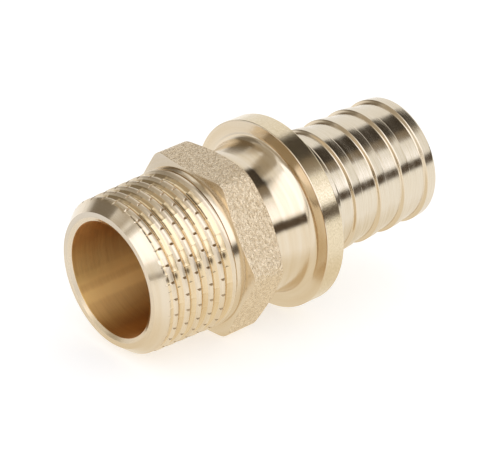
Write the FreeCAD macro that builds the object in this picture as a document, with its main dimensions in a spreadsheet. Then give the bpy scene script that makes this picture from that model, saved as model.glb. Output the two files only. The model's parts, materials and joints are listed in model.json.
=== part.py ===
import FreeCAD, Part
import math
import os
import Sketcher

# Axial-press pipe coupling: a male taper thread, a wrench hexagon, a collar and a ribbed spigot.
# It is one piece of brass. Its own axis runs from the centre of the thread's end face to the spigot's tip.
# In the row frame it lies at rest: the start of the thread and the collar's front rim touch the plane z = 0.

# Driving dimensions in millimetres, as name, value and meaning.
# A station is measured along the axis from the thread's end face, a radius from the axis.
DIMENSIONS = [
    ("total_length", "48.0", "station of the spigot's tip"),
    ("end_face_radius", "8.95", "outer radius of the thread's flat end face"),
    ("thread_start", "1.6", "station where the end chamfer meets the crest cone"),
    ("thread_gauge_length", "8.2", "station of the gauge plane of the taper thread"),
    ("thread_gauge_radius", "10.4775", "major radius at the gauge plane"),
    ("thread_taper", "0.0625", "growth of the diameter for each unit of length"),
    ("thread_end", "11.5", "station where the crest cone stops at the relief"),
    ("relief_width", "0.35", "width of the relief behind the thread"),
    ("relief_depth", "0.45", "depth of the relief below the shoulder"),
    ("shoulder_radius", "10.6", "radius of the turned shoulder in front of the hexagon"),
    ("hex_front", "12.8", "station of the hexagon's front face at the shoulder"),
    ("hex_width", "5.62", "length of the hexagon along the axis"),
    ("hex_across_flats", "22.0", "wrench size"),
    ("hex_corner_rounding", "2.2", "rounding of the six forged corners"),
    ("hex_front_angle", "15.0", "slope of the turned front face from a plane across the axis, degrees"),
    ("hex_rear_angle", "26.5", "slope of the turned rear chamfer from a plane across the axis, degrees"),
    ("hex_rear_face_radius", "11.0", "radius where the flat rear face turns into its chamfer"),
    ("neck_radius", "9.75", "radius of the neck between the hexagon and the collar"),
    ("neck_fillet", "1.1", "radius of the fillet from the neck into the collar"),
    ("collar_front", "24.92", "station of the collar's front face"),
    ("collar_width", "2.79", "width of the collar"),
    ("collar_radius", "12.7", "radius of the collar's rim"),
    ("collar_edge", "0.12", "chamfer on both edges of the rim"),
    ("stop_radius", "9.4", "radius of the plain stop behind the collar"),
    ("stop_length", "3.14", "length of the stop from the collar's back face"),
    ("stop_edge", "0.25", "chamfer on the stop's outer edge"),
    ("spigot_root_radius", "8.1", "radius of the spigot between the ribs"),
    ("rib_pitch", "4.2", "distance from rib to rib"),
    ("rib_count", "3", "ribs between the stop and the tip's own rib"),
    ("tip_rib_length", "1.9", "length of the tip's own rib, from the foot of its rise to the tip"),
    ("rib_rise", "0.4", "length of a rib's sloping rise"),
    ("rib_crest_radius", "8.5", "radius of a rib's crest"),
    ("rib_crest_length", "0.4", "length of the crest before the land starts to fall"),
    ("rib_edge_radius", "8.4", "radius where a rib's falling land ends"),
    ("rib_length", "1.75", "length of a rib from the foot of its rise to the end of its land"),
    ("tip_edge", "0.2", "chamfer on the spigot's outer edge at the tip"),
    ("bore_radius", "7.69", "radius of the bore on the thread side"),
    ("bore_mouth_radius", "8.25", "radius of the bore's chamfer at the thread's end face"),
    ("bore_mouth_depth", "0.32", "depth of that chamfer"),
    ("bore_step", "24.0", "station where the bore starts to narrow"),
    ("bore_step_length", "1.6", "length of the narrowing"),
    ("spigot_bore_radius", "6.75", "radius of the bore through the spigot"),
    ("spigot_bore_chamfer", "0.3", "chamfer of that bore at the spigot's tip"),
]

doc = FreeCAD.newDocument("pipe_coupling")
sheet = doc.addObject("Spreadsheet::Sheet", "Sizes")
for row, (alias, value, meaning) in enumerate(DIMENSIONS, start=1):
    sheet.set(f"A{row}", alias)
    sheet.set(f"B{row}", value)
    sheet.set(f"C{row}", meaning)
    sheet.setAlias(f"B{row}", alias)
doc.recompute()

# Sizes that follow from the driving ones
THREAD_SLOPE = "Sizes.thread_taper / 2"
THREAD_START_RADIUS = (
    f"(Sizes.thread_gauge_radius - (Sizes.thread_gauge_length - Sizes.thread_start) * {THREAD_SLOPE})"
)
THREAD_END_RADIUS = (
    f"(Sizes.thread_gauge_radius + (Sizes.thread_end - Sizes.thread_gauge_length) * {THREAD_SLOPE})"
)
SHOULDER_START = "(Sizes.thread_end + Sizes.relief_width)"
RELIEF_RADIUS = "(Sizes.shoulder_radius - Sizes.relief_depth)"
HEX_REAR = "(Sizes.hex_front + Sizes.hex_width)"
HEX_CORNER_RADIUS = "(Sizes.hex_across_flats / sqrt(3))"
COLLAR_REAR = "(Sizes.collar_front + Sizes.collar_width)"
STOP_END = f"({COLLAR_REAR} + Sizes.stop_length)"
TIP_RIB = "(Sizes.total_length - Sizes.tip_rib_length)"
FIRST_RIB = f"({TIP_RIB} - Sizes.rib_count * Sizes.rib_pitch)"
SPIGOT_MID_WALL = "((Sizes.spigot_root_radius + Sizes.spigot_bore_radius) / 2)"


def origin_plane(body, role):
    """Origin plane of the body with the given role."""
    return next(feature for feature in body.Origin.OriginFeatures if feature.Role == role)


def new_sketch(body, name, role):
    """Empty sketch lying on one of the body's origin planes."""
    sketch = body.newObject("Sketcher::SketchObject", name)
    sketch.AttachmentSupport = (origin_plane(body, role), [""])
    sketch.MapMode = "FlatFace"
    return sketch


def fillet_middle(start, end, radius):
    """Middle of the arc of a hollow fillet from start to end, on the right of that direction."""
    chord = end - start
    sagitta = radius - math.sqrt(radius**2 - (chord.Length / 2) ** 2)
    inwards = FreeCAD.Vector(chord.y, -chord.x, 0).normalize()
    return (start + end) / 2 + inwards * sagitta


def bind(sketch, kind, places, value, expression):
    """Dimension of the sketch, driven by an expression on the sheet."""
    number = sketch.addConstraint(Sketcher.Constraint(kind, *places, value))
    sketch.setExpression(f"Constraints[{number}]", expression)


def pin_to_origin(sketch, place, expressions, point):
    """Hold a point at its station and radius; a zero puts it on that axis of the sketch."""
    axes = (("DistanceX", -2, point.x), ("DistanceY", -1, point.y))
    for (kind, axis, value), expression in zip(axes, expressions):
        if expression == "0":
            sketch.addConstraint(Sketcher.Constraint("PointOnObject", *place, axis))
        else:
            bind(sketch, kind, (-1, 1, *place), value, expression)


def trace_outline(sketch, corners):
    """Close a loop through corners (station, radius); a third value ends a fillet of that radius there."""
    points = [
        FreeCAD.Vector(float(sketch.evalExpression(corner[0])), float(sketch.evalExpression(corner[1])), 0)
        for corner in corners
    ]
    ends = []
    for index, corner in enumerate(corners):
        start = points[index - 1]
        end = points[index]
        if len(corner) == 2:
            number = sketch.addGeometry(Part.LineSegment(start, end))
        else:
            fillet = float(sketch.evalExpression(corner[2]))
            number = sketch.addGeometry(Part.Arc(start, fillet_middle(start, end, fillet), end))
            bind(sketch, "Radius", (number,), fillet, corner[2])
        forwards = (sketch.getPoint(number, 2) - end).Length < (sketch.getPoint(number, 1) - end).Length
        ends.append(((number, 1), (number, 2)) if forwards else ((number, 2), (number, 1)))
    for index, corner in enumerate(corners):
        arrival = ends[index][1]
        departure = ends[(index + 1) % len(corners)][0]
        sketch.addConstraint(Sketcher.Constraint("Coincident", *arrival, *departure))
        pin_to_origin(sketch, arrival, corner[:2], points[index])


def turned(body, kind, name, corners):
    """Full turn about the axis, added or cut, of the outline through the corners."""
    sketch = new_sketch(body, name + "Sketch", "XZ_Plane")
    trace_outline(sketch, corners)
    feature = body.newObject(kind, name)
    feature.Profile = sketch
    feature.ReferenceAxis = (sketch, ["H_Axis"])
    feature.Angle = 360
    return feature


def add_blank(body):
    """Turned blank without the hexagon and the ribs between stop and tip."""
    turned(body, "PartDesign::Revolution", "Blank", [
        ("0", "0"),
        ("0", "Sizes.end_face_radius"),
        ("Sizes.thread_start", THREAD_START_RADIUS),
        ("Sizes.thread_end", THREAD_END_RADIUS),
        ("Sizes.thread_end", RELIEF_RADIUS),
        (SHOULDER_START, RELIEF_RADIUS),
        (SHOULDER_START, "Sizes.shoulder_radius"),
        ("Sizes.hex_front", "Sizes.shoulder_radius"),
        ("Sizes.hex_front", "Sizes.neck_radius"),
        ("Sizes.collar_front - Sizes.neck_fillet", "Sizes.neck_radius"),
        ("Sizes.collar_front", "Sizes.neck_radius + Sizes.neck_fillet", "Sizes.neck_fillet"),
        ("Sizes.collar_front", "Sizes.collar_radius - Sizes.collar_edge"),
        ("Sizes.collar_front + Sizes.collar_edge", "Sizes.collar_radius"),
        (f"{COLLAR_REAR} - Sizes.collar_edge", "Sizes.collar_radius"),
        (COLLAR_REAR, "Sizes.collar_radius - Sizes.collar_edge"),
        (COLLAR_REAR, "Sizes.stop_radius"),
        (f"{STOP_END} - Sizes.stop_edge", "Sizes.stop_radius"),
        (STOP_END, "Sizes.stop_radius - Sizes.stop_edge"),
        (STOP_END, "Sizes.spigot_root_radius"),
        (TIP_RIB, "Sizes.spigot_root_radius"),
        (f"{TIP_RIB} + Sizes.rib_rise", "Sizes.rib_crest_radius"),
        (f"{TIP_RIB} + Sizes.rib_rise + Sizes.rib_crest_length", "Sizes.rib_crest_radius"),
        ("Sizes.total_length - Sizes.tip_edge", "Sizes.rib_edge_radius"),
        ("Sizes.total_length", "Sizes.rib_edge_radius - Sizes.tip_edge"),
        ("Sizes.total_length", "0"),
    ])


def add_ribs(body):
    """One rib, with a steep rise, a crest and a land that falls towards the tip, repeated."""
    rib = turned(body, "PartDesign::Revolution", "Rib", [
        (FIRST_RIB, SPIGOT_MID_WALL),
        (FIRST_RIB, "Sizes.spigot_root_radius"),
        (f"{FIRST_RIB} + Sizes.rib_rise", "Sizes.rib_crest_radius"),
        (f"{FIRST_RIB} + Sizes.rib_rise + Sizes.rib_crest_length", "Sizes.rib_crest_radius"),
        (f"{FIRST_RIB} + Sizes.rib_length", "Sizes.rib_edge_radius"),
        (f"{FIRST_RIB} + Sizes.rib_length", SPIGOT_MID_WALL),
    ])
    ribs = body.newObject("PartDesign::LinearPattern", "Ribs")
    ribs.Originals = [rib]
    ribs.Direction = (rib.Profile[0], ["H_Axis"])
    ribs.setExpression("Length", "Sizes.rib_pitch * (Sizes.rib_count - 1)")
    ribs.setExpression("Occurrences", "Sizes.rib_count")
    body.Tip = ribs


def lengthwise_edges(shape, radius):
    """Names of the edges that run along the axis at this distance from it."""
    tolerance = 0.001
    names = []
    for number, edge in enumerate(shape.Edges, start=1):
        start, end = (vertex.Point for vertex in (edge.Vertexes[0], edge.Vertexes[-1]))
        distances = [math.hypot(point.y, point.z) for point in (start, end)]
        if abs(end.x - start.x) > tolerance and all(abs(d - radius) < tolerance for d in distances):
            names.append(f"Edge{number}")
    return names


def add_hexagon(body):
    """Wrench hexagon with one flat straight up, forged with round corners, its two ends turned."""
    sketch = new_sketch(body, "HexagonSketch", "YZ_Plane")
    corner_radius = float(sketch.evalExpression(HEX_CORNER_RADIUS))
    corners = [
        FreeCAD.Vector(corner_radius * math.cos(angle), corner_radius * math.sin(angle), 0)
        for angle in (math.radians(60 * turn) for turn in range(6))
    ]
    sides = [
        sketch.addGeometry(Part.LineSegment(corners[turn], corners[(turn + 1) % 6]))
        for turn in range(6)
    ]
    circle = sketch.addGeometry(Part.Circle(FreeCAD.Vector(), FreeCAD.Vector(0, 0, 1), corner_radius), True)
    sketch.addConstraint(Sketcher.Constraint("Coincident", circle, 3, -1, 1))
    for turn in range(6):
        following = (turn + 1) % 6
        sketch.addConstraint(Sketcher.Constraint("Coincident", sides[turn], 2, sides[following], 1))
        sketch.addConstraint(Sketcher.Constraint("PointOnObject", sides[turn], 1, circle))
        if following:
            sketch.addConstraint(Sketcher.Constraint("Equal", sides[turn], sides[following]))
    sketch.addConstraint(Sketcher.Constraint("Horizontal", sides[1]))
    bind(sketch, "Radius", (circle,), corner_radius, HEX_CORNER_RADIUS)
    sketch.setExpression(".AttachmentOffset.Base.z", "Sizes.hex_front")
    hexagon = body.newObject("PartDesign::Pad", "Hexagon")
    hexagon.Profile = sketch
    hexagon.setExpression("Length", "Sizes.hex_width")
    body.Tip = hexagon
    doc.recompute()

    rounding = body.newObject("PartDesign::Fillet", "HexagonCorners")
    rounding.Base = (hexagon, lengthwise_edges(hexagon.Shape, corner_radius))
    rounding.setExpression("Radius", "Sizes.hex_corner_rounding")
    body.Tip = rounding
    doc.recompute()
    cone_run = "({} - {}) * tan({} * 1 deg)"
    front_run = cone_run.format(HEX_CORNER_RADIUS, "Sizes.shoulder_radius", "Sizes.hex_front_angle")
    rear_run = cone_run.format(HEX_CORNER_RADIUS, "Sizes.hex_rear_face_radius", "Sizes.hex_rear_angle")
    front = turned(body, "PartDesign::Groove", "HexagonFront", [
        ("Sizes.hex_front", "Sizes.shoulder_radius"),
        (f"Sizes.hex_front + {front_run}", HEX_CORNER_RADIUS),
        ("Sizes.hex_front", HEX_CORNER_RADIUS),
    ])
    doc.recompute()
    check_cut(front, rounding.Shape.Volume)
    rear = turned(body, "PartDesign::Groove", "HexagonRear", [
        (HEX_REAR, "Sizes.hex_rear_face_radius"),
        (f"{HEX_REAR} - {rear_run}", HEX_CORNER_RADIUS),
        (HEX_REAR, HEX_CORNER_RADIUS),
    ])
    doc.recompute()
    check_cut(rear, front.Shape.Volume)


def add_bore(body):
    """Waterway: wide on the thread side, a cone, then narrow through the spigot."""
    volume = body.Tip.Shape.Volume
    bore = turned(body, "PartDesign::Groove", "Bore", [
        ("0", "0"),
        ("0", "Sizes.bore_mouth_radius"),
        ("Sizes.bore_mouth_depth", "Sizes.bore_radius"),
        ("Sizes.bore_step", "Sizes.bore_radius"),
        ("Sizes.bore_step + Sizes.bore_step_length", "Sizes.spigot_bore_radius"),
        ("Sizes.total_length - Sizes.spigot_bore_chamfer", "Sizes.spigot_bore_radius"),
        ("Sizes.total_length", "Sizes.spigot_bore_radius + Sizes.spigot_bore_chamfer"),
        ("Sizes.total_length", "0"),
    ])
    doc.recompute()
    check_cut(bore, volume)


def check_cut(feature, volume_before):
    """A cut has to take material away."""
    if not feature.Shape.Volume < volume_before:
        raise RuntimeError(feature.Name + " cuts nothing")


def lay_down(body):
    """Tip and lift the body so that it rests on the thread's start and the collar's front rim."""
    contact = "(Sizes.collar_front + Sizes.collar_edge)"
    tilt = f"atan((Sizes.collar_radius - {THREAD_START_RADIUS}) / ({contact} - Sizes.thread_start))"
    lowest = f"Sizes.collar_radius * cos({tilt}) - {contact} * sin({tilt})"
    tip_reach = (
        f"Sizes.total_length * cos({tilt}) + (Sizes.rib_edge_radius - Sizes.tip_edge) * sin({tilt})"
    )
    end_reach = f"Sizes.end_face_radius * sin({tilt})"
    body.Placement = FreeCAD.Placement(FreeCAD.Vector(), FreeCAD.Rotation(FreeCAD.Vector(0, -1, 0), 1))
    body.setExpression(".Placement.Rotation.Angle", tilt)
    body.setExpression(".Placement.Base.x", f"({end_reach} - ({tip_reach})) / 2")
    body.setExpression(".Placement.Base.z", lowest)


coupling = doc.addObject("PartDesign::Body", "CouplingBody")
coupling.Label = "coupling_body"
add_blank(coupling)
add_ribs(coupling)
add_hexagon(coupling)
add_bore(coupling)
lay_down(coupling)
doc.recompute()

for item in doc.Objects:
    if {"Invalid", "Error"} & set(item.State):
        raise RuntimeError(item.Name + " did not build")
os.makedirs("parts", exist_ok=True)
for part in [item for item in doc.Objects if item.TypeId == "PartDesign::Body"]:
    if part.Shape.isNull() or not part.Shape.isValid():
        raise RuntimeError(part.Label + " has no valid shape")
    part.Shape.exportStep(f"parts/{part.Label}.step")
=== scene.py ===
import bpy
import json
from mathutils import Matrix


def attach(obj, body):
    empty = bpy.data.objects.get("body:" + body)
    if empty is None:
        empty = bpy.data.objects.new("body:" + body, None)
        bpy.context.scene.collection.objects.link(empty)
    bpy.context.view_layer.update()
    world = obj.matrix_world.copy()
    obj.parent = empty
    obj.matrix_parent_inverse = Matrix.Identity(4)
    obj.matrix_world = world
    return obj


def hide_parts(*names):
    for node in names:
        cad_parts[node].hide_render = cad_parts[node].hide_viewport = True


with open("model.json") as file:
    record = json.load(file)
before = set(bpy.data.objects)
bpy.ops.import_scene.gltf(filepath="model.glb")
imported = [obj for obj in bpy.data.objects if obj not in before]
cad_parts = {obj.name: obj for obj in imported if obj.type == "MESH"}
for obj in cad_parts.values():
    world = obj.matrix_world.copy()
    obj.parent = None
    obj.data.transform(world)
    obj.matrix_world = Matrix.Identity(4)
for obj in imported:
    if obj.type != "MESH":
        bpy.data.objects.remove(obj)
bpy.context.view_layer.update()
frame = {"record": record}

import json
import math

import bmesh
import bpy
from mathutils import Matrix, Vector

MM = 0.001

# The coupling's own measures in millimetres: stations along its axis from the thread's end face, and radii
TOTAL_LENGTH = 48.0
END_FACE_RADIUS = 8.95
THREAD_START = 1.6
GAUGE_STATION = 8.2
GAUGE_RADIUS = 10.4775
CREST_TAPER = 0.0625
CREST_SLOPE = CREST_TAPER / 2
SHOULDER_START = 11.85
SHOULDER_RADIUS = 10.59
HEX_FRONT = 12.8
HEX_REAR = 18.42
HEX_APOTHEM = 11.0
HEX_ROUNDING = 2.2
HEX_FRONT_SLOPE = math.tan(math.radians(15.0))
HEX_REAR_SLOPE = math.tan(math.radians(26.5))
HEX_REAR_FACE_RADIUS = 11.0
HEX_REAR_INNER_RADIUS = 10.5
NECK_RADIUS = 9.75
NECK_FLARE_START = 20.9
NECK_FLARE_END = 24.2
NECK_FLARE_SLOPE = math.tan(math.radians(4.0))
NECK_FLARE_END_SLOPE = math.tan(math.radians(12.0))
COLLAR_FRONT = 24.92
COLLAR_REAR = 27.71
COLLAR_RADIUS = 12.7
COLLAR_EDGE = 0.12
STOP_RADIUS = 9.4
STOP_END = 30.85
STOP_EDGE = 0.25
ROOT_RADIUS = 8.1
RIB_FIRST = 33.5
RIB_PITCH = 4.2
RIB_COUNT = 3
RIB_CREST = 8.5
RIB_EDGE = 8.4
RIB_LENGTH = 1.75
RIB_SWEEP = 0.36
RIB_BACK_RUN = 0.02
RIB_FOOT_RUN = 0.4
TIP_EDGE = 0.2
BORE_RADIUS = 7.69
BORE_MOUTH_RADIUS = 8.25
BORE_MOUTH_DEPTH = 0.32
BORE_MOUTH_RIM = 0.1
BORE_STEP = 24.0
BORE_STEP_LENGTH = 1.6
SPIGOT_BORE_RADIUS = 6.75
SPIGOT_BORE_CHAMFER = 0.3

# The right-hand thread. Its form is the depth of the hollow groove, as a share, at offsets from a crest's
# middle in millimetres: half of one turn, which its mirror image completes. The middle of the groove, from
# one offset to another, has its own finish.
PITCH = 1.814
FIRST_CREST = 2.01
FIRST_TURN = -3
THREAD_TURNS = 8
THREAD_END = 11.68
THREAD_DEPTH = 0.52
HALF_FORM = (
    (0.0, 0.0), (0.08, 0.004), (0.15, 0.03), (0.21, 0.10), (0.27, 0.23), (0.34, 0.40),
    (0.42, 0.57), (0.52, 0.74), (0.64, 0.88), (0.77, 0.97), (0.907, 1.0),
)
MIRRORED_FORM = tuple((PITCH - offset, depth) for offset, depth in reversed(HALF_FORM[1:-1]))
THREAD_FORM = HALF_FORM + MIRRORED_FORM
# The groove's middle is painted a deeper gold as shade, for light reflected twice inside the groove
ROOT_FROM = 0.35
ROOT_TO = 1.38

# The groove's start, from a first share of its depth to all of it, and its run-out, with turns counted from
# the first crest
THREAD_FADE_START = 1.0
THREAD_FADE = 2.0
THREAD_FIRST_DEPTH = 0.12
RUNOUT_TURN = 4.55
RUNOUT_SPAN = 0.45
RUNOUT_SHIFT = 0.3
RUNOUT_DEPTH = 0.2

# Sharp notches across the crests, and shallow bars across the grooves half way between them. The columns
# are offsets round the crest from the middle of a notch and of a bar; each last one stands between the two.
NOTCHES = 29
NOTCH_PHASE = 60.27
NOTCH_HALF_WIDTH = 0.17
NOTCH_DEPTH = 0.2
NOTCH_LIMIT = 10.8
NOTCH_COLUMNS = (-0.22, -0.17, -0.08, 0.0, 0.08, 0.17, 0.22, 0.6)
BAR_COLUMNS = (-0.16, -0.08, 0.0, 0.08, 0.16, 0.53)
BAR_HEIGHT = 0.03
BAR_HALF_WIDTH = 0.15

# The fine groove in front of the shoulder, which fades out round one turn in degrees: its rows as stations
# with a share of its depth, and the shoulder's corner behind it
RELIEF_DEPTH = 0.22
RELIEF_LEAST_DEPTH = 0.04
RELIEF_GAP_TURN = 120.0
RELIEF_GAP_SPAN = 70.0
RELIEF_ROWS = ((THREAD_END + 0.03, 0.8), (THREAD_END + 0.06, 1.0), (SHOULDER_START - 0.05, 1.0))
SHOULDER_CORNER = (
    (SHOULDER_START - 0.01, SHOULDER_RADIUS - 0.02, "turned"),
    (SHOULDER_START + 0.04, SHOULDER_RADIUS, "turned"),
)

# The hexagon: turn from the middle of a flat to a corner; width of its edges; and its rows, as shares of its
# front cone, of its sides, and of its edges inwards and along
HEX_CORNER_TURN = 30
HEX_EDGE = 0.1
HEX_CONE_SHARES = (0.0, 0.03, 0.25, 0.5, 0.75, 0.96)
HEX_SIDE_SHARES = (0.2, 0.4, 0.6, 0.8)
HEX_EDGE_ROWS = ((1.0, 0.0, "turned"), (0.3, 0.0, "turned"), (0.0, 0.3, "forged"), (0.0, 1.0, "forged"))

# Small roundings of the turned corners, and the distance from a rounding to the ring beside it
NECK_ROOT_ROUNDING = 0.25
STOP_ROUNDING = 0.08
RIB_ROUNDING = 0.05
TIP_BORE_ROUNDING = 0.04
STEP_ROUNDING = 0.1
MOUTH_ROUNDING = 0.03
MOUTH_RIM_ROUNDING = 0.02
SUPPORT = 0.04

# Columns round the body and rows of its curves, and how the mesh is cleaned and shaded
BODY_COLUMNS = 216
ROUNDING_STEPS = 2
FILLET_STEPS = 6
FLARE_STEPS = 12
RIB_STEPS = 8
MERGE = 0.004
SHARP_ANGLE = 40.0
FINISHES = ["turned", "threaded", "rooted", "notched", "forged", "satin", "neck", "ribbed", "bore"]

# Station of the thread mount, from which the coupling's axes are placed
MOUNT_STATION = 6.5


def own_axes():
    """Placement of the coupling's own axes in the row frame, read from its thread mount."""
    thread = next(m for m in frame["record"]["mounts"] if m["name"] == "r_half_thread")
    along = -Vector(thread["axis"]).normalized()
    across = Vector((0, 1, 0))
    up = along.cross(across)
    corner = Vector(thread["pos_m"]) - along * MOUNT_STATION * MM
    axes = Matrix((along, across, up)).transposed().to_4x4()
    return Matrix.Translation(corner) @ axes


def ring_point(station, radius, turn):
    """Point in the coupling's own axes; turn is in degrees from up, right-handed about the axis."""
    angle = math.radians(turn)
    return (station * MM, -radius * math.sin(angle) * MM, radius * math.cos(angle) * MM)


def crest_cone(station):
    """Radius of the taper thread's crests."""
    return GAUGE_RADIUS + (station - GAUGE_STATION) * CREST_SLOPE


def end_chamfer(station):
    """Radius of the chamfer at the thread's end face."""
    return END_FACE_RADIUS + station * (crest_cone(THREAD_START) - END_FACE_RADIUS) / THREAD_START


def smooth_step(value):
    """0 below 0, 1 above 1, smooth between."""
    clipped = min(max(value, 0.0), 1.0)
    return clipped * clipped * (3 - 2 * clipped)


def smooth_bump(value):
    """1 at 0 and 0 beyond 1 on either side."""
    return 1 - smooth_step(abs(value))


def notch_columns():
    """Turns of the thread's columns, close together at each notch, with the offset from its middle."""
    spacing = 360 / NOTCHES
    degrees_per_mm = 360 / (2 * math.pi * GAUGE_RADIUS)
    offsets = [offset * degrees_per_mm for offset in NOTCH_COLUMNS]
    offsets += [offset * degrees_per_mm + spacing / 2 for offset in BAR_COLUMNS]
    middles = [NOTCH_PHASE % spacing + spacing * number for number in range(NOTCHES)]
    places = [(middle + offset, offset) for middle in middles for offset in offsets]
    return sorted((turn % 360, offset / degrees_per_mm) for turn, offset in places)


def crest_line(turns):
    """Station of the crest's middle after so many turns; the last turn runs on towards the shoulder."""
    shift = RUNOUT_SHIFT * smooth_step((turns - RUNOUT_TURN) / RUNOUT_SPAN)
    return FIRST_CREST + PITCH * turns + shift


def thread_cut(turns, depth, station, notch_offset):
    """Depth below the crest cone of one point of the thread."""
    runout = smooth_step((turns - RUNOUT_TURN) / RUNOUT_SPAN)
    grown = smooth_step((station - THREAD_FADE_START) / THREAD_FADE)
    begin = THREAD_FIRST_DEPTH + (1 - THREAD_FIRST_DEPTH) * grown
    cut = depth * begin * (THREAD_DEPTH + runout * (RUNOUT_DEPTH - THREAD_DEPTH))
    half_spacing = math.pi * GAUGE_RADIUS / NOTCHES
    cut -= depth * BAR_HEIGHT * smooth_bump((notch_offset - half_spacing) / BAR_HALF_WIDTH)
    if station < NOTCH_LIMIT:
        cut = max(cut, NOTCH_DEPTH * (1 - abs(notch_offset) / NOTCH_HALF_WIDTH))
    return cut


def thread_profile(turn, notch_offset):
    """Stations and cuts along one column of the thread, from before the end face to past the shoulder."""
    points = []
    for number in range(FIRST_TURN, THREAD_TURNS):
        turns = number + turn / 360
        begin = crest_line(turns)
        length = crest_line(turns + 1) - begin
        for offset, depth in THREAD_FORM:
            station = begin + length * offset / PITCH
            points.append((station, thread_cut(turns, depth, station, notch_offset)))
    return points


def between(first, second, share):
    """Point at a share of the way from the first to the second."""
    return tuple(a + (b - a) * share for a, b in zip(first, second))


def thread_finish(first, second, row, station):
    """Finish of a thread face between two columns, given by their offsets from the nearest notch."""
    if station < THREAD_START:
        return "turned"
    rows = len(THREAD_FORM)
    depth = (THREAD_FORM[row % rows][1] + THREAD_FORM[(row + 1) % rows][1]) / 2
    notch = NOTCH_DEPTH * (1 - abs(first + second) / 2 / NOTCH_HALF_WIDTH)
    if station < NOTCH_LIMIT and notch > depth * THREAD_DEPTH:
        return "notched"
    if ROOT_FROM < THREAD_FORM[row % rows][0] < ROOT_TO:
        return "rooted"
    return "threaded"


def held(points, low, high):
    """The same number of (station, cut) points, held between two stations with the cut read there."""
    pairs = list(zip(points, points[1:]))
    result = []
    for point in points:
        bound = min(max(point[0], low), high)
        if bound == point[0]:
            result.append(point)
            continue
        first, second = next(pair for pair in pairs if pair[0][0] <= bound <= pair[1][0])
        result.append(between(first, second, (bound - first[0]) / (second[0] - first[0])))
    return result


def with_chamfer(points):
    """Stations and radii of a column, with the end chamfer's edge snapped to the nearest points."""
    points = list(points)
    spare = [end_chamfer(station) - crest_cone(station) + cut for station, cut in points]
    for index in range(len(points) - 1):
        if spare[index] * spare[index + 1] >= 0:
            continue
        share = spare[index] / (spare[index] - spare[index + 1])
        crossing = between(points[index], points[index + 1], share)
        nearest = index if share < 0.5 else index + 1
        points[nearest] = crossing
    return [(station, min(crest_cone(station) - cut, end_chamfer(station))) for station, cut in points]


class Skin:
    """Points and faces of the coupling's surface; each face has the finish it takes."""

    def __init__(self):
        self.points = []
        self.faces = []
        self.finishes = []

    def add(self, places):
        """Add points, and give back their numbers."""
        first = len(self.points)
        self.points.extend(places)
        return list(range(first, len(self.points)))

    def face(self, corners, finish):
        """Add one face."""
        self.faces.append(corners)
        self.finishes.append(finish)

    def band(self, front, back, finish):
        """Join two rings that have the same columns."""
        for index in range(len(front)):
            after = (index + 1) % len(front)
            self.face((front[index], back[index], back[after], front[after]), finish)

    def zipper(self, front, front_turns, back, back_turns, finish):
        """Join two rings whose columns differ, each ordered by its turns."""
        front_turns = front_turns + [front_turns[0] + 360]
        back_turns = back_turns + [back_turns[0] + 360]
        i = 0
        j = 0
        while i < len(front) or j < len(back):
            a = front[i % len(front)]
            b = back[j % len(back)]
            front_next = front_turns[i + 1] if i < len(front) else math.inf
            back_next = back_turns[j + 1] if j < len(back) else math.inf
            if front_next <= back_next:
                i += 1
                self.face((a, b, front[i % len(front)]), finish)
            else:
                j += 1
                self.face((a, b, back[j % len(back)]), finish)

    def mesh(self, name):
        """Blender mesh with its double points merged and its faces facing out."""
        data = bpy.data.meshes.new(name)
        data.from_pydata(self.points, [], self.faces)
        for polygon, finish in zip(data.polygons, self.finishes):
            polygon.material_index = FINISHES.index(finish)
        shape = bmesh.new()
        shape.from_mesh(data)
        bmesh.ops.remove_doubles(shape, verts=shape.verts, dist=MERGE * MM)
        bmesh.ops.dissolve_degenerate(shape, edges=shape.edges, dist=MERGE * MM)
        bmesh.ops.recalc_face_normals(shape, faces=shape.faces)
        shape.to_mesh(data)
        shape.free()
        data.polygons.foreach_set("use_smooth", [True] * len(data.polygons))
        data.set_sharp_from_angle(angle=math.radians(SHARP_ANGLE))
        return data


def add_thread(skin):
    """The threaded end, in columns that follow the helix; gives its first and last rings back."""
    columns = notch_columns()
    turns = [turn for turn, _ in columns]
    strands = []
    stations = []
    for turn, notch_offset in columns:
        profile = with_chamfer(held(thread_profile(turn, notch_offset), 0.0, THREAD_END))
        strands.append(skin.add([ring_point(station, radius, turn) for station, radius in profile]))
        stations.append([station for station, _ in profile])
    rows = len(strands[0])
    turn_rows = len(THREAD_FORM)
    for index, strand in enumerate(strands):
        last = index == len(strands) - 1
        beside = strands[0][turn_rows:] if last else strands[index + 1]
        offset = columns[index][1]
        next_offset = columns[(index + 1) % len(columns)][1]
        for row in range(min(rows, len(beside)) - 1):
            finish = thread_finish(offset, next_offset, row, stations[index][row])
            skin.face((strand[row], strand[row + 1], beside[row + 1], beside[row]), finish)
    return [strand[0] for strand in strands], [strand[-1] for strand in strands], turns


def body_turns():
    """Turns of the columns of everything but the thread."""
    return [360 * number / BODY_COLUMNS for number in range(BODY_COLUMNS)]


def hexagon_radius(turn):
    """Distance of the hexagon's surface from the axis at a turn, with its forged corners rounded."""
    from_flat = abs((turn + HEX_CORNER_TURN) % (2 * HEX_CORNER_TURN) - HEX_CORNER_TURN)
    centre = (HEX_APOTHEM - HEX_ROUNDING) / math.cos(math.radians(HEX_CORNER_TURN))
    flat_end = math.degrees(math.atan(centre / 2 / HEX_APOTHEM))
    if from_flat < flat_end:
        return HEX_APOTHEM / math.cos(math.radians(from_flat))
    from_corner = math.radians(HEX_CORNER_TURN - from_flat)
    across = centre * math.sin(from_corner)
    return centre * math.cos(from_corner) + math.sqrt(HEX_ROUNDING**2 - across**2)


def add_row(skin, rings, stations, radii, finish):
    """Add a ring of points, each with its own station and radius, and join it to the last one."""
    places = [ring_point(s, r, t) for s, r, t in zip(stations, radii, body_turns())]
    ring = skin.add(places)
    if rings:
        skin.band(rings[-1], ring, finish)
    rings.append(ring)


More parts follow.
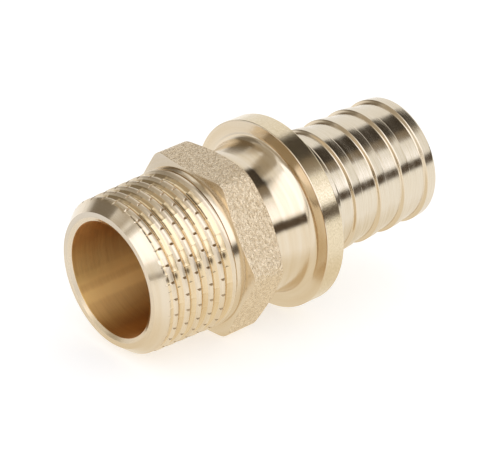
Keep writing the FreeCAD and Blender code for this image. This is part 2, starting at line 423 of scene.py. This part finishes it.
def add_profile(skin, rings, corners):
    """Add turned rings through (station, radius, finish of the band before it)."""
    for station, radius, finish in corners:
        add_row(skin, rings, [station] * BODY_COLUMNS, [radius] * BODY_COLUMNS, finish)


def step_towards(start, end, distance):
    """Point at a distance from the start towards the end."""
    return between(start, end, distance / math.dist(start, end))


def corner_round(before, corner, after, size, finish, next_finish):
    """Rings of a small rounding at a corner, with a ring beside it on each straight stretch."""
    start = step_towards(corner, before, size)
    end = step_towards(corner, after, size)
    places = [(*step_towards(corner, before, size + SUPPORT), finish)]
    for step in range(ROUNDING_STEPS + 1):
        share = step / ROUNDING_STEPS
        low = between(start, corner, share)
        high = between(corner, end, share)
        places.append((*between(low, high, share), finish))
    places.append((*step_towards(corner, after, size + SUPPORT), next_finish))
    return places


def rounded(corners):
    """Turned rings through corners (station, radius, finish, rounding or 0 for a bare ring)."""
    rings = []
    for index, (station, radius, finish, size) in enumerate(corners):
        if index in (0, len(corners) - 1) or size == 0:
            rings.append((station, radius, finish))
            continue
        before = corners[index - 1][:2]
        after = corners[index + 1]
        place = (station, radius)
        rings.extend(corner_round(before, place, after[:2], size, finish, after[2]))
    return rings


def add_relief(skin, rings):
    """The fine groove between the thread's last crest and the shoulder, which fades out on one side."""
    gaps = [smooth_bump((turn - RELIEF_GAP_TURN) / RELIEF_GAP_SPAN) for turn in body_turns()]
    depths = [RELIEF_DEPTH * (1 - gap) for gap in gaps]
    for station, share in RELIEF_ROWS:
        radii = [SHOULDER_RADIUS - RELIEF_LEAST_DEPTH - depth * share for depth in depths]
        add_row(skin, rings, [station] * BODY_COLUMNS, radii, "turned")
    add_profile(skin, rings, SHOULDER_CORNER)


def add_hexagon(skin, rings):
    """The forged hexagon with its two turned ends."""
    radii = [hexagon_radius(turn) for turn in body_turns()]
    fronts = [HEX_FRONT + (radius - SHOULDER_RADIUS) * HEX_FRONT_SLOPE for radius in radii]
    rears = [HEX_REAR - (radius - HEX_REAR_FACE_RADIUS) * HEX_REAR_SLOPE for radius in radii]
    for share in HEX_CONE_SHARES:
        inner = [SHOULDER_RADIUS + share * (radius - HEX_EDGE - SHOULDER_RADIUS) for radius in radii]
        stations = [HEX_FRONT + (radius - SHOULDER_RADIUS) * HEX_FRONT_SLOPE for radius in inner]
        add_row(skin, rings, stations, inner, "turned")
    for inwards, backwards, finish in HEX_EDGE_ROWS:
        stations = [s - inwards * HEX_EDGE * HEX_FRONT_SLOPE + backwards * HEX_EDGE for s in fronts]
        add_row(skin, rings, stations, [radius - inwards * HEX_EDGE for radius in radii], finish)
    for share in HEX_SIDE_SHARES:
        stations = [s + HEX_EDGE + (e - s - 2 * HEX_EDGE) * share for s, e in zip(fronts, rears)]
        add_row(skin, rings, stations, radii, "forged")
    for inwards, backwards, _ in reversed(HEX_EDGE_ROWS):
        stations = [s + inwards * HEX_EDGE * HEX_REAR_SLOPE - backwards * HEX_EDGE for s in rears]
        add_row(skin, rings, stations, [radius - inwards * HEX_EDGE for radius in radii], "forged")
    add_profile(skin, rings, [(HEX_REAR, HEX_REAR_FACE_RADIUS - 2 * HEX_EDGE, "turned")])


def flare_radius(station):
    """Radius of the neck's slow flare towards the collar."""
    run = station - NECK_FLARE_START
    bend = (NECK_FLARE_END_SLOPE - NECK_FLARE_SLOPE) / (NECK_FLARE_END - NECK_FLARE_START) / 2
    return NECK_RADIUS + NECK_FLARE_SLOPE * run + bend * run**2


def flare_rings():
    """Rings of the neck's flare and of the hollow fillet into the collar's front face."""
    rings = []
    for step in range(FLARE_STEPS + 1):
        station = NECK_FLARE_START + (NECK_FLARE_END - NECK_FLARE_START) * step / FLARE_STEPS
        rings.append((station, flare_radius(station), "neck"))
    first_angle = math.atan(NECK_FLARE_END_SLOPE)
    size = (COLLAR_FRONT - NECK_FLARE_END) / (1 - math.sin(first_angle))
    middle_radius = flare_radius(NECK_FLARE_END) + size * math.cos(first_angle)
    for step in range(1, FILLET_STEPS + 1):
        angle = first_angle + (math.pi / 2 - first_angle) * step / FILLET_STEPS
        station = COLLAR_FRONT - size + size * math.sin(angle)
        rings.append((station, middle_radius - size * math.cos(angle), "turned"))
    return rings


def rib_rings(start, end, stepped):
    """Rings of one rib: a rise that starts hollow and ends in a round crest, and a land if it is stepped."""
    rings = [(start - SUPPORT, ROOT_RADIUS, "ribbed")]
    for step in range(RIB_STEPS + 1):
        share = step / RIB_STEPS
        radius = ROOT_RADIUS + (RIB_CREST - ROOT_RADIUS) * smooth_step(share)
        rings.append((start + RIB_SWEEP * share, radius, "turned"))
    crest = start + RIB_SWEEP + SUPPORT
    rings.append((crest, RIB_CREST, "ribbed"))
    if stepped:
        corners = [
            (crest, RIB_CREST, "ribbed", 0),
            (end, RIB_EDGE, "ribbed", RIB_ROUNDING),
            (end + RIB_BACK_RUN, ROOT_RADIUS, "ribbed", RIB_ROUNDING),
            (end + RIB_FOOT_RUN, ROOT_RADIUS, "ribbed", 0),
        ]
        rings.extend(rounded(corners)[1:])
    return rings


def add_neck_and_collar(skin, rings):
    """The neck with its flare, the collar, and the stop and smooth root behind it."""
    rear = [
        (HEX_REAR, HEX_REAR_INNER_RADIUS, "turned", 0),
        (HEX_REAR, NECK_RADIUS, "turned", NECK_ROOT_ROUNDING),
        (NECK_FLARE_START - SUPPORT, NECK_RADIUS, "neck", 0),
    ]
    add_profile(skin, rings, rounded(rear))
    flare = flare_rings()
    add_profile(skin, rings, flare)
    collar = [
        (COLLAR_FRONT, flare[-1][1] + SUPPORT, "turned", 0),
        (COLLAR_FRONT, COLLAR_RADIUS, "turned", COLLAR_EDGE),
        (COLLAR_REAR, COLLAR_RADIUS, "satin", COLLAR_EDGE),
        (COLLAR_REAR, STOP_RADIUS, "turned", STOP_ROUNDING),
        (STOP_END, STOP_RADIUS, "ribbed", STOP_EDGE),
        (STOP_END, ROOT_RADIUS, "ribbed", STOP_ROUNDING),
        (RIB_FIRST - 2 * SUPPORT, ROOT_RADIUS, "ribbed", 0),
    ]
    add_profile(skin, rings, rounded(collar))


def add_spigot(skin, rings):
    """The ribs, the spigot's tip, and the waterway back to the thread's end face."""
    for number in range(RIB_COUNT):
        start = RIB_FIRST + RIB_PITCH * number
        add_profile(skin, rings, rib_rings(start, start + RIB_LENGTH, True))
    start = RIB_FIRST + RIB_PITCH * RIB_COUNT
    add_profile(skin, rings, rib_rings(start, TOTAL_LENGTH, False))
    tip = [
        (start + RIB_SWEEP + 2 * SUPPORT, RIB_CREST, "ribbed", 0),
        (TOTAL_LENGTH, RIB_EDGE, "ribbed", TIP_EDGE),
        (TOTAL_LENGTH, SPIGOT_BORE_RADIUS + SPIGOT_BORE_CHAMFER, "turned", TIP_BORE_ROUNDING),
        (TOTAL_LENGTH - SPIGOT_BORE_CHAMFER, SPIGOT_BORE_RADIUS, "turned", TIP_BORE_ROUNDING),
        (BORE_STEP + BORE_STEP_LENGTH, SPIGOT_BORE_RADIUS, "bore", STEP_ROUNDING),
        (BORE_STEP, BORE_RADIUS, "bore", STEP_ROUNDING),
        (BORE_MOUTH_DEPTH, BORE_RADIUS, "bore", MOUTH_ROUNDING),
        (0.0, BORE_MOUTH_RADIUS, "turned", MOUTH_RIM_ROUNDING),
        (0.0, BORE_MOUTH_RADIUS + BORE_MOUTH_RIM, "turned", 0),
    ]
    add_profile(skin, rings, rounded(tip))


def build_coupling():
    """The whole coupling as one closed surface."""
    skin = Skin()
    start_ring, end_ring, thread_turns = add_thread(skin)
    rings = []
    add_relief(skin, rings)
    skin.zipper(end_ring, thread_turns, rings[0], body_turns(), "turned")
    add_hexagon(skin, rings)
    add_neck_and_collar(skin, rings)
    add_spigot(skin, rings)
    skin.zipper(rings[-1], body_turns(), start_ring, thread_turns, "turned")
    return skin.mesh("coupling")


# Painted reflections of the bore round its axis: bright bands painted where light reflects along the bore,
# and painted shade where its colour is darker; turn in degrees and share of the brighter brass
BORE_PAINTED_REFLECTION_BANDS = (
    (0, 0.05), (150, 0.05), (184, 0.0), (200, 0.6), (219, 0.65), (227, 1.5), (234, 0.65),
    (238, 0.65), (244, 1.4), (251, 0.75), (262, 0.5), (284, 0.0), (320, 0.05),
)

# Colours of the brass, linear
BRASS = (0.76, 0.655, 0.505)
BRASS_DEEP = (0.71, 0.58, 0.40)
BRASS_THREAD = (0.82, 0.71, 0.55)
BRASS_THREAD_DEEP = (0.76, 0.64, 0.47)
# Painted shade: the groove's middle is painted a deeper gold, for light reflected twice inside the groove
BRASS_ROOT_PAINTED_SHADE = (0.80, 0.65, 0.43)
BRASS_ROOT_PAINTED_SHADE_DEEP = (0.72, 0.55, 0.33)
# Painted shade: the notches' brass is painted dark as the shade inside the cuts
BRASS_NOTCH_PAINTED_SHADE = (0.40, 0.29, 0.17)
NOTCH_ROUGHNESS = 0.4
BRASS_GREY = (0.78, 0.70, 0.57)
BRASS_GREY_DEEP = (0.67, 0.57, 0.42)
BRASS_FORGED = (0.90, 0.75, 0.54)
BRASS_FORGED_DEEP = (0.70, 0.55, 0.36)
BRASS_RIM = (0.80, 0.69, 0.50)
BRASS_RIM_DEEP = (0.68, 0.56, 0.37)
# The bore's brighter brass is its painted reflection colour, and its deeper brass is its painted shade
BRASS_BORE_PAINTED_REFLECTION = (1.0, 0.68, 0.26)
BRASS_BORE_PAINTED_SHADE = (0.62, 0.33, 0.11)

# What the finishes share: the detail and roughness of the noise of tool lines, and the spans of noise values
# that are mapped to roughness, tone and grain
TOOL_LINES = (3.0, 0.7)
NOISE_SPAN = (0.3, 0.7)
TONE_SPAN = (0.35, 0.7)
GRAIN_SPAN = (0.35, 0.65)


class Nodes:
    """Node tree of one material, with short calls for the nodes used here."""

    def __init__(self, name):
        self.material = bpy.data.materials.new(name)
        self.material.use_nodes = True
        self.tree = self.material.node_tree
        self.shader = self.tree.nodes["Principled BSDF"]
        to_axis = own_axes().inverted()
        mapping = self.add("ShaderNodeMapping")
        mapping.inputs["Location"].default_value = to_axis.to_translation()
        mapping.inputs["Rotation"].default_value = to_axis.to_euler()
        self.coordinates = self.add("ShaderNodeTexCoord")
        self.join(self.coordinates.outputs["Object"], mapping.inputs["Vector"])
        self.place = mapping.outputs["Vector"]

    def add(self, kind, **settings):
        """New node with its settings."""
        node = self.tree.nodes.new(kind)
        for name, value in settings.items():
            setattr(node, name, value)
        return node

    def join(self, output, target):
        """Link a socket to another."""
        self.tree.links.new(output, target)

    def fill(self, target, value):
        """Link a socket, or set a plain value."""
        if isinstance(value, bpy.types.NodeSocket):
            self.join(value, target)
        else:
            target.default_value = value

    def math(self, operation, *values):
        """Result of a math node."""
        node = self.add("ShaderNodeMath", operation=operation)
        for target, value in zip(node.inputs, values):
            self.fill(target, value)
        return node.outputs[0]

    def scaled(self, scale):
        """Coordinates in the coupling's own axes, times a scale."""
        node = self.add("ShaderNodeVectorMath", operation="MULTIPLY")
        self.join(self.place, node.inputs[0])
        node.inputs[1].default_value = (scale, scale, scale)
        return node.outputs[0]

    def noise(self, place, detail, roughness):
        """Noise value at a place, from 0 to 1."""
        node = self.add("ShaderNodeTexNoise")
        self.join(place, node.inputs["Vector"])
        node.inputs["Scale"].default_value = 1.0
        node.inputs["Detail"].default_value = detail
        node.inputs["Roughness"].default_value = roughness
        return node.outputs["Fac"]

    def grain(self, scale, detail=2.0, roughness=0.5):
        """Noise that is the same in all directions, its scale per metre."""
        return self.noise(self.scaled(scale), detail, roughness)

    def lines(self, across, around, detail=2.0, roughness=0.5):
        """Noise in lines round the axis, its scales per metre across the lines and along them."""
        return self.noise(self.turning_place(across, around), detail, roughness)

    def range(self, value, source, target=(0.0, 1.0)):
        """Value mapped from one range to another, held at its ends."""
        node = self.add("ShaderNodeMapRange")
        self.join(value, node.inputs["Value"])
        node.inputs["From Min"].default_value = source[0]
        node.inputs["From Max"].default_value = source[1]
        node.inputs["To Min"].default_value = target[0]
        node.inputs["To Max"].default_value = target[1]
        return node.outputs["Result"]

    def blend(self, share, first, second):
        """Colour between two plain colours."""
        node = self.add("ShaderNodeMix", data_type="RGBA")
        self.join(share, node.inputs["Factor"])
        node.inputs[6].default_value = (*first, 1)
        node.inputs[7].default_value = (*second, 1)
        return node.outputs[2]

    def bump(self, height, depth, before=None):
        """Bump of a height from 0 to 1, depth in metres."""
        node = self.add("ShaderNodeBump")
        node.inputs["Strength"].default_value = 1.0
        node.inputs["Distance"].default_value = depth
        self.join(height, node.inputs["Height"])
        if before:
            self.join(before, node.inputs["Normal"])
        return node.outputs["Normal"]

    def turning_place(self, across, around):
        """Coordinates that change fast along the axis and radius and slowly round the axis."""
        parts = self.add("ShaderNodeSeparateXYZ")
        self.join(self.place, parts.inputs[0])
        side = self.math("MULTIPLY", parts.outputs["Y"], parts.outputs["Y"])
        rise = self.math("MULTIPLY", parts.outputs["Z"], parts.outputs["Z"])
        radius = self.math("SQRT", self.math("ADD", side, rise))
        run = self.math("ADD", parts.outputs["X"], radius)
        joined = self.add("ShaderNodeCombineXYZ")
        self.join(self.math("MULTIPLY", run, across), joined.inputs["X"])
        self.join(self.math("MULTIPLY", parts.outputs["Y"], around), joined.inputs["Y"])
        self.join(self.math("MULTIPLY", parts.outputs["Z"], around), joined.inputs["Z"])
        return joined.outputs[0]

    def bands(self, stops):
        """Value that changes round the axis only, through (turn in degrees, value)."""
        parts = self.add("ShaderNodeSeparateXYZ")
        self.join(self.place, parts.inputs[0])
        back = self.math("MULTIPLY", parts.outputs["Y"], -1.0)
        turn = self.math("ARCTAN2", back, parts.outputs["Z"])
        share = self.math("FRACT", self.math("DIVIDE", turn, 2 * math.pi))
        ramp = self.add("ShaderNodeValToRGB")
        self.join(share, ramp.inputs["Fac"])
        elements = ramp.color_ramp.elements
        while len(elements) < len(stops):
            elements.new(0.5)
        for element, (turn_stop, value) in zip(elements, stops):
            element.position = turn_stop / 360
            element.color = (value, value, value, 1)
        return ramp.outputs["Color"]

    def cross(self, first, second):
        """Cross product of two vectors."""
        node = self.add("ShaderNodeVectorMath", operation="CROSS_PRODUCT")
        self.fill(node.inputs[0], first)
        self.fill(node.inputs[1], second)
        return node.outputs[0]

    def spread(self, amount):
        """Spread reflections across the tool lines, which run round the axis."""
        axes = own_axes()
        offset = self.add("ShaderNodeVectorMath", operation="SUBTRACT")
        self.join(self.coordinates.outputs["Object"], offset.inputs[0])
        offset.inputs[1].default_value = axes.to_translation()
        around = self.cross(axes.to_3x3().col[0], offset.outputs[0])
        across = self.cross(self.coordinates.outputs["Normal"], around)
        self.join(across, self.shader.inputs["Tangent"])
        self.shader.inputs["Anisotropic"].default_value = amount

    def finish(self, colour, roughness, normal):
        """Metal with the given colour, roughness and normal."""
        self.shader.inputs["Metallic"].default_value = 1.0
        self.fill(self.shader.inputs["Base Color"], colour)
        self.fill(self.shader.inputs["Roughness"], roughness)
        self.join(normal, self.shader.inputs["Normal"])
        return self.material


def tooled_brass(name, colours, lines, tone, roughness, depth, spread=0.0):
    """Turned brass: fine tool lines round the axis, over a tone that changes its colour and roughness.

    lines and tone give their scales per metre across the lines and along them, and depth is in metres.
    """
    nodes = Nodes(name)
    tone = nodes.lines(*tone)
    colour = nodes.blend(nodes.range(tone, TONE_SPAN), *colours)
    if spread:
        nodes.spread(spread)
    normal = nodes.bump(nodes.lines(*lines, *TOOL_LINES), depth)
    return nodes.finish(colour, nodes.range(tone, NOISE_SPAN, roughness), normal)


def turned_brass():
    """Bright turned brass with fine tool lines."""
    return tooled_brass(
        "turned brass", (BRASS, BRASS_DEEP), lines=(9000.0, 40.0), tone=(700.0, 60.0, 2.0),
        roughness=(0.12, 0.2), depth=0.0000035,
    )


def neck_brass():
    """Turned brass of the neck, with broader tool lines that break up the reflections."""
    return tooled_brass(
        "neck brass", (BRASS, BRASS_DEEP), lines=(5200.0, 260.0), tone=(900.0, 90.0, 2.0),
        roughness=(0.1, 0.16), depth=0.000006, spread=0.4,
    )


def threaded_brass(name, colours, roughness):
    """Brass of the cut thread, whose tool lines make its reflections soft."""
    return tooled_brass(
        name, colours, lines=(6000.0, 120.0), tone=(1500.0, 120.0, 3.0),
        roughness=roughness, depth=0.000004, spread=0.4,
    )


def notched_brass():
    """Dull brass of the notches cut across the thread's crests, painted dark as the shade inside the cuts.
    """
    nodes = Nodes("notched brass")
    normal = nodes.bump(nodes.grain(5000.0), 0.00002)
    return nodes.finish((*BRASS_NOTCH_PAINTED_SHADE, 1), NOTCH_ROUGHNESS, normal)


def forged_brass():
    """Forged and tumbled brass: a sandy grain of small pits and bright specks."""
    nodes = Nodes("forged brass")
    grain = nodes.grain(3400.0, detail=3.0, roughness=0.6)
    coarse = nodes.grain(2600.0, detail=3.0, roughness=0.6)
    colour = nodes.blend(nodes.range(coarse, (0.4, 0.6)), BRASS_FORGED_DEEP, BRASS_FORGED)
    roughness = nodes.range(grain, NOISE_SPAN, (0.38, 0.2))
    normal = nodes.bump(coarse, 0.00026, nodes.bump(grain, 0.0002))
    return nodes.finish(colour, roughness, normal)


def satin_brass():
    """Satin brass of the collar's rim, with a fine grain and soft lines round the axis."""
    nodes = Nodes("satin brass")
    lines = nodes.lines(5000.0, 300.0, *TOOL_LINES)
    grain = nodes.grain(4500.0, detail=4.0, roughness=0.65)
    colour = nodes.blend(nodes.range(grain, GRAIN_SPAN), BRASS_RIM, BRASS_RIM_DEEP)
    roughness = nodes.range(grain, NOISE_SPAN, (0.13, 0.22))
    normal = nodes.bump(grain, 0.000005, nodes.bump(lines, 0.000004))
    return nodes.finish(colour, roughness, normal)


def ribbed_brass():
    """Turned brass of the stop and the ribs, a little greyer, with fine uneven tool lines."""
    nodes = Nodes("ribbed brass")
    lines = nodes.lines(8000.0, 120.0, detail=4.0, roughness=0.75)
    tone = nodes.lines(1100.0, 80.0, detail=3.0)
    colour = nodes.blend(nodes.range(lines, GRAIN_SPAN), BRASS_GREY, BRASS_GREY_DEEP)
    roughness = nodes.range(tone, NOISE_SPAN, (0.12, 0.2))
    return nodes.finish(colour, roughness, nodes.bump(lines, 0.000006))


def bore_brass():
    """Deeper golden brass of the bore, with painted reflections in bands round it and painted shade between
    them; its fine lines round the axis spread each reflection along it.
    """
    nodes = Nodes("bore brass")
    lines = nodes.lines(5000.0, 150.0, *TOOL_LINES)
    arcs = nodes.lines(2600.0, 90.0, detail=4.0, roughness=0.7)
    # Painted reflection and painted shade in bands round the axis, with a little uneven tone from the arcs
    painted_reflection = nodes.math("ADD", nodes.bands(BORE_PAINTED_REFLECTION_BANDS), nodes.range(arcs, GRAIN_SPAN, (-0.12, 0.12)))
    colour = nodes.blend(nodes.range(painted_reflection, (0.0, 1.0)), BRASS_BORE_PAINTED_SHADE, BRASS_BORE_PAINTED_REFLECTION)
    roughness = nodes.range(lines, NOISE_SPAN, (0.4, 0.55))
    nodes.spread(0.9)
    return nodes.finish(colour, roughness, nodes.bump(lines, 0.00001))


# The camera looks at the aim point from this azimuth and elevation in degrees, rolled a little. Its aim and
# distance are in millimetres, like its lens and sensor, and its clip range is in metres.
CAMERA_AIM = (-0.809, -0.012, 11.581)
CAMERA_DISTANCE = 361.079
CAMERA_AZIMUTH = -42.819
CAMERA_ELEVATION = 25.357
CAMERA_ROLL = 4.04
CAMERA_LENS = 203.488
CAMERA_SENSOR = 36.0
CAMERA_CLIP_START = 0.01
CAMERA_CLIP_END = 50.0


def direction(azimuth, elevation):
    """Unit vector towards an azimuth and elevation in degrees; azimuth 0 is towards -Y, 90 towards +X."""
    a = math.radians(azimuth)
    e = math.radians(elevation)
    return Vector((math.sin(a) * math.cos(e), -math.cos(a) * math.cos(e), math.sin(e)))


def add_camera():
    """Camera at the photograph's viewing angle."""
    data = bpy.data.cameras.new("camera")
    data.sensor_width = CAMERA_SENSOR
    data.lens = CAMERA_LENS
    data.clip_start = CAMERA_CLIP_START
    data.clip_end = CAMERA_CLIP_END
    camera = bpy.data.objects.new("camera", data)
    bpy.context.collection.objects.link(camera)
    back = direction(CAMERA_AZIMUTH, CAMERA_ELEVATION)
    level = Vector((0, 0, 1)).cross(back).normalized()
    roll = Matrix.Rotation(math.radians(CAMERA_ROLL), 3, back)
    right = roll @ level
    axes = Matrix((right, back.cross(right), back)).transposed().to_4x4()
    place = (Vector(CAMERA_AIM) + back * CAMERA_DISTANCE) * MM
    camera.matrix_world = Matrix.Translation(place) @ axes
    bpy.context.scene.camera = camera


# The floor, its size in metres, with the light that makes it white where it is seen; and the surroundings
FLOOR_SIZE = 8.0
FLOOR_COLOUR = (0.8, 0.8, 0.8)
FLOOR_ROUGHNESS = 0.8
FLOOR_FILL = 0.52
WORLD_LIGHT = 0.75


def shown_rays(tree):
    """1 for what the camera sees directly, in a reflection or through glass, 0 for other light."""
    path = tree.nodes.new("ShaderNodeLightPath")
    total = path.outputs["Is Camera Ray"]
    for name in ("Is Glossy Ray", "Is Transmission Ray"):
        node = tree.nodes.new("ShaderNodeMath")
        node.operation = "MAXIMUM"
        tree.links.new(total, node.inputs[0])
        tree.links.new(path.outputs[name], node.inputs[1])
        total = node.outputs[0]
    return total


def add_floor():
    """Plain white floor that keeps the object's shadow."""
    size = FLOOR_SIZE / 2
    data = bpy.data.meshes.new("floor")
    corners = [(-size, -size, 0), (size, -size, 0), (size, size, 0), (-size, size, 0)]
    data.from_pydata(corners, [], [(0, 1, 2, 3)])
    floor = bpy.data.objects.new("floor", data)
    bpy.context.collection.objects.link(floor)
    material = bpy.data.materials.new("white floor")
    material.use_nodes = True
    tree = material.node_tree
    shader = tree.nodes["Principled BSDF"]
    shader.inputs["Base Color"].default_value = (*FLOOR_COLOUR, 1)
    shader.inputs["Roughness"].default_value = FLOOR_ROUGHNESS
    shader.inputs["Specular IOR Level"].default_value = 0.0
    shader.inputs["Emission Color"].default_value = (1, 1, 1, 1)
    fill = tree.nodes.new("ShaderNodeMath")
    fill.operation = "MULTIPLY"
    tree.links.new(shown_rays(tree), fill.inputs[0])
    fill.inputs[1].default_value = FLOOR_FILL
    tree.links.new(fill.outputs[0], shader.inputs["Emission Strength"])
    data.materials.append(material)


def add_world():
    """White surroundings: white where they are seen, a little dimmer as light."""
    world = bpy.data.worlds.new("studio")
    world.use_nodes = True
    tree = world.node_tree
    background = tree.nodes["Background"]
    background.inputs["Color"].default_value = (1, 1, 1, 1)
    level = tree.nodes.new("ShaderNodeMapRange")
    tree.links.new(shown_rays(tree), level.inputs["Value"])
    level.inputs["To Min"].default_value = WORLD_LIGHT
    level.inputs["To Max"].default_value = 1.0
    tree.links.new(level.outputs["Result"], background.inputs["Strength"])
    bpy.context.scene.world = world


# Studio screens, seen in reflections only: name; first and last azimuth and width of the soft sides; first
# and last elevation and width of the soft lower and upper edge, all in degrees as seen from the coupling's
# middle; and light. The surroundings have light (1, 1, 1). Distance, spacing and height are in metres.
SCREENS = (
    ("softbox_front", (-90.0, 42.0, 4.0), (17.0, 78.0, 4.0, 4.0), (1.6, 1.64, 1.8)),
    ("gold_back_right", (42.0, 74.0, 6.0), (43.0, 61.0, 4.0, 5.0), (0.25, 0.20, 0.14)),
    ("dark_back_right", (42.0, 127.0, 6.0), (43.0, 71.0, 4.0, 6.0), (0.055, 0.045, 0.035)),
    ("dark_low_right", (-8.0, 78.0, 3.0), (1.0, 17.0, 4.0, 3.0), (0.09, 0.065, 0.045)),
    ("dark_low_left", (-70.0, -8.0, 4.0), (0.0, 7.0, 2.5, 2.5), (0.30, 0.26, 0.21)),
    ("lamp_left", (-110.0, -80.0, 8.0), (0.0, 10.0, 1.0, 4.0), (1.6, 1.6, 1.65)),
    ("tan_low_left", (222.0, 276.0, 6.0), (7.0, 41.0, 4.0, 4.0), (0.46, 0.41, 0.33)),
    ("dark_back_left", (147.5, 226.0, 5.0), (3.0, 45.0, 14.0, 8.0), (0.24, 0.21, 0.17)),
    ("tan_top", (66.0, 254.0, 5.0), (60.0, 89.0, 5.0, 0.1), (0.46, 0.41, 0.33)),
    ("tan_left", (147.5, 254.0, 5.0), (38.0, 66.0, 8.0, 5.0), (0.46, 0.41, 0.33)),
    ("dim_left", (-106.0, -90.0, 6.0), (28.0, 68.0, 6.0, 6.0), (0.52, 0.49, 0.44)),
    ("dim_low_left", (-154.0, -122.0, 8.0), (0.0, 18.0, 1.0, 6.0), (0.5, 0.46, 0.4)),
)
SCREEN_DISTANCE = 0.6
SCREEN_SPACING = 0.01
SCREEN_HEIGHT = 0.014
SCREEN_COLUMNS = 48
SCREEN_ROWS = 24

# Tinted patches of the floor, seen in reflections only: name, centre and half lengths in millimetres, share
# of the half lengths that is fully tinted, and light. Their height is in metres.
FLOOR_TINTS = (
    # Painted shadow: the floor's shade round the coupling, golden from light off the brass, seen in
    # reflections only
    ("painted_shadow_under", (2.0, 0.0), (44.0, 34.0), 0.4, (0.92, 0.85, 0.72)),
    ("veil_left", (-75.0, 50.0), (65.0, 75.0), 0.5, (0.86, 0.88, 0.94)),
)
TINT_HEIGHT = 0.0001
TINT_RINGS = 12
TINT_COLUMNS = 48


def add_screen(name, azimuths, elevations, light, distance):
    """Curved screen round the object, with its own light, that fades out to its edges."""
    first, last, side_edge = azimuths
    low, high, low_edge, high_edge = elevations
    centre = Vector((0, 0, SCREEN_HEIGHT))
    points = []
    fades = []
    for row in range(SCREEN_ROWS + 1):
        elevation = low + (high - low) * row / SCREEN_ROWS
        for column in range(SCREEN_COLUMNS + 1):
            azimuth = first + (last - first) * column / SCREEN_COLUMNS
            points.append(centre + direction(azimuth, elevation) * distance)
            width_share = math.cos(math.radians(elevation))
            across = min(azimuth - first, last - azimuth) * width_share
            fade = smooth_step(across / side_edge) * smooth_step((elevation - low) / low_edge)
            fades.append(fade * smooth_step((high - elevation) / high_edge))
    add_light_sheet(name, points, SCREEN_COLUMNS + 1, fades, light)


def add_floor_tint(name, centre, half_lengths, full_share, light):
    """Flat patch just above the floor that tints the floor's reflection near the object."""
    points = []
    fades = []
    for ring in range(TINT_RINGS + 1):
        share = ring / TINT_RINGS
        for column in range(TINT_COLUMNS + 1):
            angle = 2 * math.pi * column / TINT_COLUMNS
            x = centre[0] + half_lengths[0] * share * math.cos(angle)
            y = centre[1] + half_lengths[1] * share * math.sin(angle)
            points.append((x * MM, y * MM, TINT_HEIGHT))
            fades.append(smooth_step((1 - share) / (1 - full_share)))
    add_light_sheet(name, points, TINT_COLUMNS + 1, fades, light)


def light_material(name, light):
    """Material that shines with one light, as much as the mesh's fade says, and is clear elsewhere."""
    material = bpy.data.materials.new(name)
    material.use_nodes = True
    tree = material.node_tree
    tree.nodes.remove(tree.nodes["Principled BSDF"])
    reader = tree.nodes.new("ShaderNodeAttribute")
    reader.attribute_name = "fade"
    clear = tree.nodes.new("ShaderNodeBsdfTransparent")
    emission = tree.nodes.new("ShaderNodeEmission")
    emission.inputs["Color"].default_value = (*light, 1)
    mix = tree.nodes.new("ShaderNodeMixShader")
    tree.links.new(reader.outputs["Fac"], mix.inputs["Fac"])
    tree.links.new(clear.outputs["BSDF"], mix.inputs[1])
    tree.links.new(emission.outputs["Emission"], mix.inputs[2])
    tree.links.new(mix.outputs["Shader"], tree.nodes["Material Output"].inputs["Surface"])
    return material


def add_light_sheet(name, points, width, fades, light):
    """Stage sheet of rows of points that gives light only to reflections, as much as its fades say."""
    rows = len(points) // width
    corners = [row * width + column for row in range(rows - 1) for column in range(width - 1)]
    data = bpy.data.meshes.new(name)
    data.from_pydata(points, [], [(c, c + 1, c + width + 1, c + width) for c in corners])
    fade = data.attributes.new("fade", "FLOAT", "POINT")
    fade.data.foreach_set("value", fades)
    data.materials.append(light_material(name, light))
    sheet = bpy.data.objects.new(name, data)
    bpy.context.collection.objects.link(sheet)
    sheet.visible_camera = False
    sheet.visible_shadow = False
    sheet.visible_diffuse = False


def add_coupling():
    """The coupling, at its place in the frame, with its finishes."""
    data = build_coupling()
    data.transform(own_axes())
    materials = {
        "turned": turned_brass(),
        "threaded": threaded_brass("threaded brass", (BRASS_THREAD, BRASS_THREAD_DEEP), (0.32, 0.4)),
        # Painted shade in the groove's middle
        "rooted": threaded_brass("thread root brass", (BRASS_ROOT_PAINTED_SHADE, BRASS_ROOT_PAINTED_SHADE_DEEP), (0.15, 0.2)),
        "notched": notched_brass(),
        "forged": forged_brass(),
        "satin": satin_brass(),
        "neck": neck_brass(),
        "ribbed": ribbed_brass(),
        "bore": bore_brass(),
    }
    for finish in FINISHES:
        data.materials.append(materials[finish])
    coupling = bpy.data.objects.new("coupling", data)
    bpy.context.collection.objects.link(coupling)
    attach(coupling, "root")
    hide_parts("coupling_body")


add_coupling()
add_camera()
add_floor()
add_world()
for screen_number, screen_settings in enumerate(SCREENS):
    add_screen(*screen_settings, SCREEN_DISTANCE + SCREEN_SPACING * screen_number)
for tint_settings in FLOOR_TINTS:
    add_floor_tint(*tint_settings)

bpy.context.scene.view_settings.view_transform = "Standard"
bpy.context.view_layer.update()
